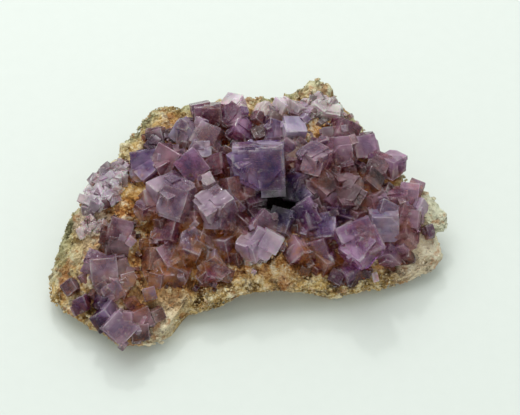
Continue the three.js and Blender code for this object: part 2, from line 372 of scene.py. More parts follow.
def buildRock():
    # a sphere whose rows are laid over the top, down the wall and under the foot
    noise.seed_set(breaks["seed"])
    rows = rock["topRings"] + rock["wallRings"] + rock["footRings"]
    bm = bmesh.new()
    wear = bm.verts.layers.float_color.new("wear")  # painted shade by how proud, then rind, place down the wall
    bmesh.ops.create_uvsphere(bm, u_segments=rock["spokes"], v_segments=rows, radius=1)
    wallEnd = rock["topRings"] + rock["wallRings"]
    rims = {}
    places = {}
    for v in bm.verts:
        row = round(math.acos(max(-1.0, min(1.0, v.co.z))) / math.pi * rows)
        angle = math.atan2(v.co.y, v.co.x)
        key = round(angle, 4)
        if key not in rims:
            rims[key] = reach(angle)
        part = row / rock["topRings"]
        if row > rock["topRings"]:
            part = 1 + (row - rock["topRings"]) / rock["wallRings"]
        if row > wallEnd:
            part = 2 + (row - wallEnd) / rock["footRings"]
        v.co = rockPoint(angle, rims[key], part)
        places[v] = part
    bm.normal_update()
    moves = []
    for v, part in places.items():
        depth = brokenDepth(v.co) * clamped((breaks["endPart"] - part) / breaks["endFade"])
        moves.append((v, v.co + v.normal * depth))
        v[wear] = (clamped(plus(breaks["proudShade"], depth)), rindAt(v.co, part), clamped(part / 2), 1)
    for v, co in moves:
        v.co = co
        v.co.z = max(v.co.z, 0.0)
    bmesh.ops.recalc_face_normals(bm, faces=bm.faces[:])
    bmesh.ops.scale(bm, vec=(mm, mm, mm), verts=bm.verts[:])
    return meshObject(bm, "matrix_rock")


grains = {
    "wall": 4200,
    "top": 2600,
    "wallParts": (0.88, 0.87),  # the part of the surface where they start, and how far they go
    "topParts": (0.6, 0.97),  # how far they gather toward the rim, and where they end
    "sizes": (0.25, 0.8),  # mm across
    "mostlySmall": 2.2,
    "stretch": ((0.6, 0.7), (0.5, 0.5), (0.45, 0.45)),  # least along each axis, and how much more
    "clear": ((8.5, 1, 13), 6),  # centre and radius of the deep hollow, which stays clean
    "chunk": 100,
    "seed": 77,
}


def grainChunk(first, last, draw):
    # some of the grains as one mesh, so that no step works on all of them
    chunk = bmesh.new()
    wear = chunk.verts.layers.float_color.new("wear")
    gather, topEnd = grains["topParts"]
    hollow, clear = grains["clear"]
    for index in range(first, last):
        onWall = index < grains["wall"]
        angle = 2 * math.pi * draw()
        part = plus(grains["wallParts"], draw()) if onWall else draw() ** gather * topEnd
        centre = Vector(rockPoint(angle, reach(angle), part))
        size = between(grains["sizes"], draw() ** grains["mostlySmall"])
        lean = orientation(180 * draw(), 360 * draw(), 90 * draw())
        stretch = Matrix.Diagonal([plus(pair, draw()) for pair in grains["stretch"]] + [1])
        shade = draw()
        if (centre - Vector(hollow)).length < clear:
            continue
        matrix = Matrix.Translation(centre * mm) @ lean @ stretch
        made = bmesh.ops.create_cube(chunk, size=size * mm, matrix=matrix)
        for v in made["verts"]:
            v[wear] = (shade, rindAt(centre, part), part / 2, 1)
    mesh = bpy.data.meshes.new("grains")
    chunk.to_mesh(mesh)
    chunk.free()
    return mesh


def buildGrains():
    # chips and grains that stand on the broken rock
    draw = randomFrom(grains["seed"])
    total, step = grains["wall"] + grains["top"], grains["chunk"]
    whole = bmesh.new()
    for first in range(0, total, step):
        whole.from_mesh(grainChunk(first, min(first + step, total), draw))
    return meshObject(whole, "rock_grains")


# a pair named with Plus holds a first value, and how much chance may add to it
growth = {
    "from": 9.5,  # mm: crystals at least this large carry growth blocks and a smaller crystal
    "blocks": [((0.24, -0.33, 0.21), 0.6), ((-0.31, 0.22, 0.13), 0.6)],
    "small": (0.3, 0.46),  # size of the smaller crystal, as a share
    "smallAcross": 0.7,  # how far along the side the smaller crystal may sit
    "smallHeightPlus": (0.3, -0.4),
    "smallLeanPlus": (20, 40),
    "tumble": (12, 58),  # degrees that a crystal with no stated turn leans
    "shadePlus": (0.6, 0.55),  # how light a tint comes out
    "twinFrom": 4.2,  # mm: crystals at least this large grow through a second one
    "twoTwinsOver": 9,
    "twinShare": (0.5, 0.84),
    "twinOffset": (0.16, 0.42),
    "twinWay": ((-1, 1), (-1, 1), (-0.25, 0.25)),  # mostly sideways
    "stepsFrom": 3.0,  # mm: crystals at least this large are built of parallel blocks
    "steps": (1.8, 3.6),  # blocks, for each stretch of size below
    "stepsEach": 6,
    "stepShare": (0.28, 0.8),
    "stepRise": (-0.01, 0.05),
    "stepRoom": 0.56,  # how far from the middle of a face they may reach
    "stepEdges": 0.45,  # under 1 sets them nearer to its edges
    "askew": 5,  # degrees that these blocks may stray
    "perched": (0.9, 2.8),  # mm: crystals on the sides of larger ones
    "perchedFrom": 5.5,
    "perchedMost": 3,
    "perchedSmall": 1.5,  # over 1 makes most of them small
    "perchedAcross": 0.9,
    "perchedHeightPlus": (0.5, -0.6),
    "perchedPale": 0.5,  # the share of them that is pale
    "perchedBlendPlus": (0.3, 0.5),
    "fill": (0.9, 4.2),  # mm: crystals on the rock between the larger ones
    "fillCount": 9,
    "fillSmall": 1.9,  # over 1 makes most of them small
    "fillAwayPlus": (0.45, 0.6),
    "fillTurned": 0.4,  # the share that is turned as the large one beside it
    "fillLiftPlus": (0.05, 0.3),
    "fillBlendPlus": (0.2, 0.6),
    "backRim": 0.82,  # how near they come to the rim behind this y, and in front of it
    "backFrom": 8,
    "frontRim": 0.9,
    "hollow": (8.5, 1, 4.2),  # x, y and radius of the deep hollow, which stays open
    "bare": [  # x, y, radius, and the share that stays bare rock
        (-12, -12, 10, 0.6), (-31, 4, 6, 0.9), (39, 9, 5, 0.9), (17, 32, 5, 0.8), (-27, -20, 8, 0.5),
        (10, -14, 9, 0.5), (-26, 26, 9, 0.6), (47, -5, 5, 0.9), (-38, -11, 5, 0.9),
    ],
    "zones": [  # x, y, radius, and the tints that the small crystals have there
        (17, 29, 13, ("white", "amber", "frost", "white")),
        (-18, 27, 12, ("lilac", "grey", "tan")),
        (-33, -20, 15, ("tan", "smoky", "pink", "amber")),
        (38, 2, 13, ("pink", "lilac", "pink", "mauve")),
        (4, -14, 8, ("pale", "amber", "pink")),
        (0, 0, 99, ("wine", "mauve", "amber", "violet", "wine", "tan")),
    ],
}

tints = {
    "deep": linear(112, 38, 170),
    "violet": linear(168, 82, 176),
    "slate": linear(104, 74, 160),
    "plum": linear(150, 54, 124),
    "mauve": linear(172, 78, 116),
    "garnet": linear(104, 20, 44),
    "wine": linear(136, 34, 62),
    "smoky": linear(196, 134, 130),
    "amber": linear(226, 180, 122),
    "tan": linear(204, 146, 108),
    "haze": linear(190, 158, 188),
    "grey": linear(190, 152, 180),
    "lilac": linear(214, 172, 206),
    "pale": linear(232, 204, 228),
    "frost": linear(240, 224, 210),
    "ice": linear(206, 200, 236),
    "cream": linear(252, 242, 228),
    "white": linear(240, 232, 236),
    "pink": linear(206, 140, 168),
}

# x, y, size, lift, tint, and where it is stated the turn: lean, toward, spin
crystals = {
    "main_druse": [
        # the large cubes of the middle
        (3, 7.5, 11.5, 0.25, "deep", 50, -90, 4), (-20.5, 1, 9.4, 0.2, "haze", 15, 80, 40),
        (-8.5, -3.5, 8.5, 0.3, "haze", 14, 160, 35), (28, -12, 9.4, 0.3, "violet", 20, -80, 25),
        (17, 9.5, 7, 0.2, "grey", 20, 90, 45), (35, -6, 7.5, 0.2, "ice"),
        # left of the middle
        (-25.5, 0, 6.5, 0, "smoky"), (-20.5, -1.5, 6.5, 0, "haze"), (-21.5, 12.5, 7.5, 0.1, "mauve"),
        (-27.5, 12.5, 8, 0.05, "deep", 40, -90, 8), (-15.5, 9.5, 7.5, 0.05, "violet", 35, -80, 40),
        (-8.5, 9.5, 6.5, 0, "mauve"), (-11, 5, 3.5, 0.35, "white"), (-3.5, 2.5, 7, -0.05, "smoky"),
        (-14, 3.5, 6, -0.1, "tan"), (-4.5, -1, 6, -0.05, "violet"), (0.5, -0.5, 5.5, -0.1, "mauve"),
        (-22, -2, 6, -0.2, "wine"),
        # behind the middle
        (-11, 19, 6.5, 0.15, "haze"), (-17.5, 22, 6, 0.1, "ice"),
        (-11.5, 27, 7, 0.05, "plum", 50, -90, 2), (-4, 25.5, 6.5, 0.1, "plum"),
        (-2.5, 21, 7.5, -0.05, "violet"), (6.5, 20, 6, 0.05, "deep"), (3.5, 19.5, 5, 0, "wine"),
        (11.5, 20, 6, 0.15, "ice"), (10.5, 14.5, 5, 0.1, "haze"), (12.5, 10.5, 5, 0.05, "amber"),
        (9, 29, 5, 0, "white"), (4, 28, 5, 0, "frost"), (18.5, 28.5, 4.5, 0.05, "cream"),
        (22, 27.5, 4.5, 0.05, "cream"), (15, 27.5, 4.5, 0, "pale"), (-4.5, 31, 5, 0.1, "white"),
        (-25, 22, 4.5, 0, "grey"), (-26, 18.5, 4, 0.1, "grey"),
        # right of the middle
        (13, 3, 7.5, 0, "slate"), (19, 3, 6.5, 0, "wine"), (25, 6, 6.5, -0.1, "wine"),
        (25, 10.5, 6, 0, "plum"), (23.5, 15, 7.5, 0.1, "plum", 35, -90, 6), (25, 21, 6.5, 0.1, "mauve"),
        (30.5, 17, 6, 0.25, "lilac", 30, -70, 14), (31.5, 6, 5.5, 0.05, "garnet"),
        (27.5, 0.5, 6, -0.05, "garnet"), (23.5, 1, 6, -0.05, "wine"), (34.5, 12, 6, 0.1, "mauve"),
        (38, 12.5, 5.5, 0.2, "lilac", 20, 90, 45), (39, 1, 6.5, 0.1, "pink"),
        (42.5, 4, 5.5, 0.15, "lilac"), (43.5, 0, 5.5, 0, "pale"), (40.5, -3, 6, 0.05, "pink"),
        (40, -8, 6.5, 0.05, "smoky"), (32, 0, 6, 0, "mauve"),
        # below the middle
        (19.5, -7, 7, 0.05, "deep"), (15, -4, 7.5, 0.1, "violet"), (9, -6, 6.5, 0.1, "slate"),
        (3, -7.5, 6.5, 0.05, "pink"), (3, -11.5, 7.5, 0, "pale"), (-1.5, -6, 6, -0.05, "wine"),
        (13, -6.5, 5, 0, "grey"), (17, -1, 5.5, -0.05, "garnet"), (23, -3, 5.5, 0, "deep"),
        (27.5, -3.5, 5, 0, "wine"), (12.5, -12.5, 6, 0, "pink"), (18, -12, 7, -0.05, "plum"),
        (19.5, -15, 6, -0.05, "tan"), (26, -16.5, 6, 0, "violet"), (36, -11.5, 6, 0, "lilac"),
        (-6, -11.5, 6.5, -0.05, "mauve"), (-9, -15, 4.5, 0.2, "haze"), (-9, -17.5, 6.5, -0.05, "mauve"),
        (-11.5, -10.5, 6, -0.1, "tan"), (-14.5, -5, 6, -0.1, "mauve"), (-15.5, -12.5, 6, 0.05, "haze"),
        (-20.5, -8, 7, 0, "mauve"), (-20.5, -14, 6.5, 0, "mauve"), (-24.5, -14.5, 6.5, 0, "tan"),
        (-18.5, -17.5, 6, -0.1, "mauve"), (-21.5, -18, 5, -0.05, "violet"),
        (-12.5, 14, 4.5, 0.3, "ice"), (20, 11, 5.5, 0.1, "plum"),
    ],
    "left_edge_crystals": [
        (-36.5, 7.5, 4.6, 0.05, "white", 35, -120, 30), (-39.5, 4.5, 4.2, 0.05, "white", 50, -150, 15),
        (-41, 1, 4, 0, "frost", 30, -140, 40), (-36.5, 3, 3.8, 0.05, "pale", 35, -60, 30),
        (-38, 8.5, 3.6, 0.1, "pale", 20, 150, 10),
    ],
    "left_crystals": [
        (-33.5, -7, 6.2, 0.15, "mauve", 38, -85, -14), (-34, -11, 6, 0.05, "wine", 42, -85, -8),
        (-37.5, -17.5, 7, 0.1, "grey", 45, -80, 8), (-34.5, -23.5, 5, 0.2, "grey", 38, -100, 30),
        (-31.5, -20, 4, 0.05, "grey", 45, -60, 20),
    ],
    "corner_crystals": [
        (-37, -30.5, 5, 0.1, "deep", 50, -100, 30), (-32.5, -33.5, 7, 0.35, "haze", 38, -90, 47),
        (-28, -30, 5.5, 0.15, "mauve", 45, -60, 30), (-28, -33.5, 4.5, 0.1, "wine", 45, -70, 10),
    ],
    "left_tip_crystal": [
        (-46, -21, 3.6, -0.1, "grey", 40, -120, 30),
    ],
    "left_wedge_crystal": [
        (-43, -26, 4.3, 0, "violet", 45, -110, 20),
    ],
    "violet_crystal": [
        (-25.5, -24, 3.4, 0.1, "deep", 35, -90, 15),
    ],
    "front_white_crystal": [
        (32.5, -18.5, 2.2, 0.1, "white", 30, -90, 15),
    ],
    "right_notch_crystal": [
        (47, -5.5, 3, 0.1, "grey", 30, -60, 20),
    ],
    "left_pink_crystal": [
        (-43.5, -6.5, 3.2, 0, "frost", 30, -90, 25),
    ],
}


def chanceAt(x, y, more=0):
    # a chance value from 0 to 1 that belongs to a place
    return (x * 7.31 + y * 3.77 + more) % 1


def tumbled(draw):
    return orientation(between(growth["tumble"], draw()), 360 * draw(), 90 * draw())


def blend(first, second, share):
    return tuple(a + (b - a) * share for a, b in zip(first, second))


def shaded(colour, draw):
    shade = plus(growth["shadePlus"], draw())
    return (*(min(1.0, c * shade) for c in colour[:3]), colour[3])


def blocksOf(row, draw):
    # the blocks that the solid of this crystal has: centre, size, turn and colour of each
    x, y, size, lift, tint = row[:5]
    chance = tumbled(draw)
    turn = orientation(*row[5:]) if len(row) > 5 else chance
    centre = Vector((x, y, rockTop(x, y) + lift * size))
    blocks = [(centre, size, turn, tints[tint])]
    if size >= growth["from"]:
        for at, share in growth["blocks"]:
            blocks.append((centre + turn @ (Vector(at) * size), share * size, turn, tints[tint], blocks[0]))
    own = size * between(growth["small"], draw())
    side = quarterTurn(draw)
    across = growth["smallAcross"] * (draw() - 0.5)
    edge = turn @ (side @ Vector((0.5, across, plus(growth["smallHeightPlus"], draw()))) * size)
    ownTurn = orientation(plus(growth["smallLeanPlus"], draw()), 360 * draw(), 90 * draw())
    if size >= growth["from"]:
        blocks.append((centre + edge, own, ownTurn, tints[tint]))
    return blocks


def outward(draw):
    # -1 to 1, more often near the ends
    place = 2 * draw() - 1
    return math.copysign(abs(place) ** growth["stepEdges"], place)


def stepsOf(block, draw):
    # nearly parallel blocks that stand a little proud of a crystal's faces
    centre, size, turn, colour = block[:4]
    if size < growth["stepsFrom"]:
        return []
    made = []
    for index in range(round(between(growth["steps"], draw()) * size / growth["stepsEach"])):
        share = between(growth["stepShare"], draw())
        rise = between(growth["stepRise"], draw() ** 2)
        room = growth["stepRoom"] - share / 2
        at = Vector((0.5 + rise - share / 2, room * outward(draw), room * outward(draw)))
        side = math.floor(draw() * 6)
        axis, angle = ("Y", -math.pi / 2) if side > 3 else ("Z", side * math.pi / 2)
        at = turn @ (Matrix.Rotation(angle, 4, axis) @ at * size)
        askew = orientation(growth["askew"] * draw(), 360 * draw(), growth["askew"] * (draw() - 0.5))
        made.append((centre + at, share * size, turn @ askew, colour, block))
    return made


def twinOf(block, draw):
    # a second crystal that grows out through this one
    centre, size, turn, colour = block[:4]
    share = between(growth["twinShare"], draw())
    away = between(growth["twinOffset"], draw()) * size
    way = Vector([between(limits, draw()) for limits in growth["twinWay"]]).normalized()
    ownTurn = tumbled(draw)
    if size < growth["twinFrom"]:
        return []
    return [(centre + way * away, share * size, ownTurn, shaded(colour, draw))]


def perchedOn(block, draw):
    # small crystals on the sides of a larger one, most of them high up
    centre, size, turn, colour = block[:4]
    made = []
    for index in range(1 + int(draw() * growth["perchedMost"])):
        own = between(growth["perched"], draw() ** growth["perchedSmall"])
        side = quarterTurn(draw)
        across = growth["perchedAcross"] * (draw() - 0.5)
        at = turn @ (side @ Vector((0.5, across, plus(growth["perchedHeightPlus"], draw() ** 2))) * size)
        tint = tints["pale"] if draw() < growth["perchedPale"] else localTint(centre.x, centre.y, draw)
        ownTurn = tumbled(draw)
        if size > growth["perchedFrom"]:
            mixed = blend(colour, tint, plus(growth["perchedBlendPlus"], draw()))
            made.append((centre + at, own, ownTurn, shaded(mixed, draw)))
    return made


def localTint(x, y, draw):
    # the last zone reaches over the whole rock
    for zx, zy, radius, names in growth["zones"]:
        if math.hypot(x - zx, y - zy) < radius:
            return tints[names[int(draw() * len(names))]]


def staysOpen(x, y):
    # true in the deep hollow, near the rim, and for a share of the places on bare rock
    hx, hy, hollow = growth["hollow"]
    rim = growth["backRim"] if y > growth["backFrom"] else growth["frontRim"]
    if math.hypot(x - hx, y - hy) <= hollow or rimShare(x, y) >= rim:
        return True
    return any(math.hypot(x - bx, y - by) < radius and chanceAt(x, y) < share
               for bx, by, radius, share in growth["bare"])


def fillRound(block, draw):
    # crystals on the rock beside a larger one, some of them turned as it is
    centre, size, turn, colour = block[:4]
    made = []
    for index in range(growth["fillCount"]):
        own = between(growth["fill"], draw() ** growth["fillSmall"])
        angle = 2 * math.pi * draw()
        away = size * plus(growth["fillAwayPlus"], draw())
        x, y = centre.x + away * math.cos(angle), centre.y + away * math.sin(angle)
        ownTurn = tumbled(draw)
        if draw() < growth["fillTurned"]:
            ownTurn = turn
        tint = localTint(x, y, draw)
        place = Vector((x, y, rockTop(x, y) + lumps(x, y) + own * plus(growth["fillLiftPlus"], draw())))
        if not staysOpen(x, y):
            mixed = blend(colour, tint, plus(growth["fillBlendPlus"], draw()))
            made.append((place, own, ownTurn, shaded(mixed, draw)))
    return made


cube = {
    "uneven": 0.16,  # how far its three sides may differ, and the same for a small one
    "unevenSmall": 0.6,
    "smallTo": 3,  # mm
    "core": (0.9, 0.99),  # size of the middle block of a crystal that is built of several
    "brokenCorners": 0.4,  # of the corners
    "brokenOver": 1.2,  # mm: smaller crystals keep theirs
    "cornerWayPlus": (0.6, 0.8),  # how unevenly a corner's three edges are cut
    "cornerDepthPlus": (0.6, 0.22),  # from the middle, as a share of the size
    "weld": 1e-5,
    "terraceShare": 0.25,  # of the faces
    "terraceOver": 2.2,  # mm: smaller crystals have none
    "terraceArea": 0.3,  # the least face that has one, as a share of the size squared
    "terraceLevels": 2.4,
    "terraceSlide": 0.04,  # shares of the size
    "terraceInsetPlus": (0.04, 0.08),
    "terraceRisePlus": (0.03, 0.09),  # mm
    "terraceUp": 0.65,  # the share that rises, while the others sink
    "sharp": 0.5,  # radians between two faces, past which their edge is softened
    "bevel": (0.03, 0.17),  # share of the size, and the most in mm
    "bevelPlus": (0.6, 0.8),
}


def breakCorners(bm, size, draw):
    for corner in range(8):
        signs = [1 if corner >> axis & 1 else -1 for axis in range(3)]
        way = Vector([s * plus(cube["cornerWayPlus"], draw()) for s in signs]).normalized()
        depth = size * plus(cube["cornerDepthPlus"], draw())
        if draw() < cube["brokenCorners"] and size > cube["brokenOver"]:
            cut = bmesh.ops.bisect_plane(bm, geom=bm.verts[:] + bm.edges[:] + bm.faces[:], dist=cube["weld"],
                                         plane_co=way * depth, plane_no=way, clear_outer=True)
            edges = [item for item in cut["geom_cut"] if isinstance(item, bmesh.types.BMEdge)]
            bmesh.ops.holes_fill(bm, edges=edges, sides=0)


def addTerraces(bm, size, draw):
    # raised and sunken growth terraces on some of the whole faces
    for face in bm.faces[:]:
        straight = max(abs(c) for c in face.normal) > 0.99
        small = cube["terraceArea"] * size * size
        if not straight or draw() > cube["terraceShare"] or face.calc_area() < small:
            continue
        for level in range(1 + int(draw() * cube["terraceLevels"])):
            slide = face.normal.orthogonal().normalized() * size * cube["terraceSlide"] * (draw() - 0.5)
            inset = size * plus(cube["terraceInsetPlus"], draw())
            bmesh.ops.inset_individual(bm, faces=[face], thickness=inset, depth=0)
            bmesh.ops.translate(bm, vec=slide, verts=face.verts[:])
            lifted = bmesh.ops.extrude_discrete_faces(bm, faces=[face])["faces"][0]
            rise = plus(cube["terraceRisePlus"], draw()) * (1 if draw() < cube["terraceUp"] else -1)
            bmesh.ops.translate(bm, vec=lifted.normal * rise, verts=lifted.verts[:])
            face = lifted


def crystalMesh(block, draw):
    # one cube with its broken corners, growth terraces and softened edges, in mm
    centre, size, turn, colour = block[:4]
    middle, across, parentTurn = (block[4] if len(block) > 4 else block)[:3]
    mark = chanceAt(middle.x, middle.y, across)
    bm = bmesh.new()
    bmesh.ops.create_cube(bm, size=size)
    spread = cube["uneven"] if size > cube["smallTo"] else cube["unevenSmall"]
    uneven = [1 + spread * (draw() - 0.5) for axis in range(3)]
    if len(block) < 5 and size > growth["stepsFrom"]:
        uneven = [between(cube["core"], draw()) for axis in range(3)]
    bmesh.ops.scale(bm, vec=uneven, verts=bm.verts[:])
    breakCorners(bm, size, draw)
    if size > cube["terraceOver"]:
        addTerraces(bm, size, draw)
    inner = bm.loops.layers.float_color.new("inner")  # place in the crystal, and its chance value
    tone = bm.loops.layers.float_color.new("tone")  # its colour, and 1 on softened edges
    sharp = [e for e in bm.edges if e.is_manifold and e.calc_face_angle(0) > cube["sharp"]]
    soft = min(cube["bevel"][0] * size, cube["bevel"][1]) * plus(cube["bevelPlus"], draw())
    edges = set(bmesh.ops.bevel(bm, geom=sharp, offset=soft, offset_type="OFFSET", segments=1, profile=0.5,
                                material=-1, affect="EDGES", clamp_overlap=True)["faces"])
    bmesh.ops.transform(bm, matrix=Matrix.Translation(centre) @ turn, verts=bm.verts[:])
    inward = parentTurn.inverted()
    for face in bm.faces:
        for loop in face.loops:
            p = inward @ (loop.vert.co - middle) / across + Vector((0.5, 0.5, 0.5))
            loop[inner] = (p.x, p.y, p.z, mark)
            loop[tone] = (*colour[:3], 1 if face in edges else 0)
    return bm


def joined(parts):
    # unites closed meshes pair by pair
    meshes = []
    for bm in parts:
        mesh = bpy.data.meshes.new("part")
        bm.to_mesh(mesh)
        bm.free()
        meshes.append(mesh)
    first = bpy.data.objects.new("first", meshes[0])
    second = bpy.data.objects.new("second", meshes[0])
    for o in (first, second):
        bpy.context.scene.collection.objects.link(o)
    union = first.modifiers.new("union", "BOOLEAN")
    union.operation = "UNION"
    union.solver = "MANIFOLD"
    union.object = second
    while len(meshes) > 1:
        pairs = []
        for a, b in zip(meshes[::2], meshes[1::2]):
            first.data, second.data = a, b
            graph = bpy.context.evaluated_depsgraph_get()
            pairs.append(bpy.data.meshes.new_from_object(first.evaluated_get(graph), depsgraph=graph))
        if len(meshes) % 2:
            pairs.append(meshes[-1])
        meshes = pairs
    bpy.data.objects.remove(first)
    bpy.data.objects.remove(second)
    return meshes[0]


def finishedPiece(blocks, name, seed):
    shape = randomFrom(seed)
    mesh = joined([crystalMesh(block, shape) for block in blocks])
    bm = bmesh.new()
    bm.from_mesh(mesh)
    foot = bm.verts.layers.float.new("foot")  # height over the rock, in mm
    for v in bm.verts:
        v[foot] = v.co.z - rockTop(v.co.x, v.co.y)
    bmesh.ops.scale(bm, vec=(mm, mm, mm), verts=bm.verts[:])
    return meshObject(bm, name)


seeds = {
    "crystals": 101,  # the first group's, and one more for each that follows
    "detail": 500,  # added for what the solids leave out
    "shape": 1000,  # added for corners, terraces and edges
}


def buildCrystals(name, rows, seed):
    draw = randomFrom(seed)
    detail = randomFrom(seed + seeds["detail"])
    blocks = []
    for row in rows:
        own = blocksOf(row, draw)
        twins = twinOf(own[0], detail)
        if row[2] > growth["twoTwinsOver"]:
            twins += twinOf(own[0], detail)
        small = perchedOn(own[0], detail) + fillRound(own[0], detail) if len(rows) > 1 else []
        blocks += own + twins + small
        for block in own + twins:
            blocks += stepsOf(block, detail)
    return finishedPiece(blocks, name + "_fluorite", seed + seeds["shape"])


fineDruse = {
    "seed": 31,
    "shapeSeed": 32,
    "mostlySmall": 1.5,
    "lift": 0.2,  # of the size
    "rim": 0.97,  # the shards end here, where the rim is 1
    # x, y, half length, half width, turn, count, smallest, largest, tint
    "patches": [
        (-38, 6, 8.5, 3.6, 55, 300, 0.9, 2.8, "white"),
        (1.5, -13, 4, 3, 0, 90, 0.8, 1.8, "white"),
        (-24, 21, 5, 3, 20, 80, 0.7, 1.5, "grey"),
        (30, 27, 4, 2, -50, 70, 0.6, 1.4, "white"),
        (20, 28.5, 6, 3, 0, 110, 0.8, 2.4, "cream"),
        (-41, -5, 3, 2.5, 0, 40, 0.7, 1.6, "frost"),
    ],
}


def buildFineDruse():
    # patches of small pale shards
    draw = randomFrom(fineDruse["seed"])
    blocks = []
    for x, y, length, width, turn, count, small, large, tint in fineDruse["patches"]:
        c, s = math.cos(math.radians(turn)), math.sin(math.radians(turn))
        for index in range(count):
            angle, away = 2 * math.pi * draw(), math.sqrt(draw())
            u, v = length * away * math.cos(angle), width * away * math.sin(angle)
            px, py = x + c * u - s * v, y + s * u + c * v
            own = between((small, large), draw() ** fineDruse["mostlySmall"])
            centre = Vector((px, py, rockTop(px, py) + lumps(px, py) + fineDruse["lift"] * own))
            if rimShare(px, py) < fineDruse["rim"]:
                blocks.append((centre, own, tumbled(draw), shaded(tints[tint], draw)))
    return finishedPiece(blocks, "fine_druse", fineDruse["shapeSeed"])


# tints with a share are laid over the crystal's own colour by that share
fluoriteLook = {
    "ior": 1.434,
    "transmission": 0.8,
    "specular": 0.3,
    "coat": 0.05,
    "coatRoughness": 0.05,
    "absorption": (0.68, 0.14, 0.6, 1),
    "density": 16.0,
    "bumpStrength": 0.55,
    "bumpHeight": 0.0012,
    "milkTint": (0.25, (0.95, 0.9, 0.95, 1)),
    "milkRoughness": 0.3,
    "milkDepth": (0.0011, 0.0007, 0.001),
    "deepTint": (0.36, 0.19, 0.52, 1),
    "zoneTint": (0.13, (1, 0.7, 0.96, 1)),
    "lightBlockTint": (0.35, (0.9, 0.68, 0.9, 1)),
    "darkBlockTint": (0.42, 0.2, 0.5, 1),
    "warmTint": (0.7, linear(222, 156, 92)),
    "glowTint": (0.45, (1, 0.74, 0.94, 1)),
    "streakTint": (0.5, (0.85, 0.62, 0.78, 1)),
    "frostTint": (0.84, 0.78, 0.84, 1),
    "mottleTint": (0.6, (0.9, 0.74, 0.88, 1)),
    # painted shade toward the rock, a dark red
    "footShadeTint": (0.2, 0.045, 0.055, 1),
    "rustTint": linear(206, 112, 38),
    "stainTint": linear(224, 150, 66),
    # painted highlights along the edges and as glints
    "borderHighlightTint": (0.65, (1, 0.9, 0.98, 1)),
    "sparkleTint": (0.96, 0.92, 0.96, 1),
    "bevelHighlightTint": (0.95, 0.82, 0.86, 1),
    "thinHighlightTint": (0.97, 0.86, 0.94, 1),
    # painted shade in the darker places, a dark red
    "redderShadeTint": (0.46, 0.12, 0.17, 1),
    # painted shade in the deep hollow
    "hollowShadeTint": (0.008, 0.001, 0.004, 1),
    "hollow": ((8.3, 0, 14), 4.8, 9.8),  # its centre, how far its painted shade is quite dark, and where that ends
    # places where golden-brown iron stain lies between the crystals: x, y, z, radius
    "stains": [
        (-12, -12, 13, 13), (-27, -8, 13, 9), (-31, 6, 15, 7), (12, -13, 10, 12), (-29, -24, 9, 8),
        (-22, -18, 10, 7), (-3, -14, 11, 6), (30, 3, 15, 7), (21, -14, 9, 7),
    ],
    # places of painted shade, where the crystals are also redder: x, y, z, radius, strength
    "redderShade": [(25, 3, 17, 13, 0.5), (-10, 4, 20, 8, 0.35)],
    "core": 0.4,  # the share of such a radius where the change is full
}


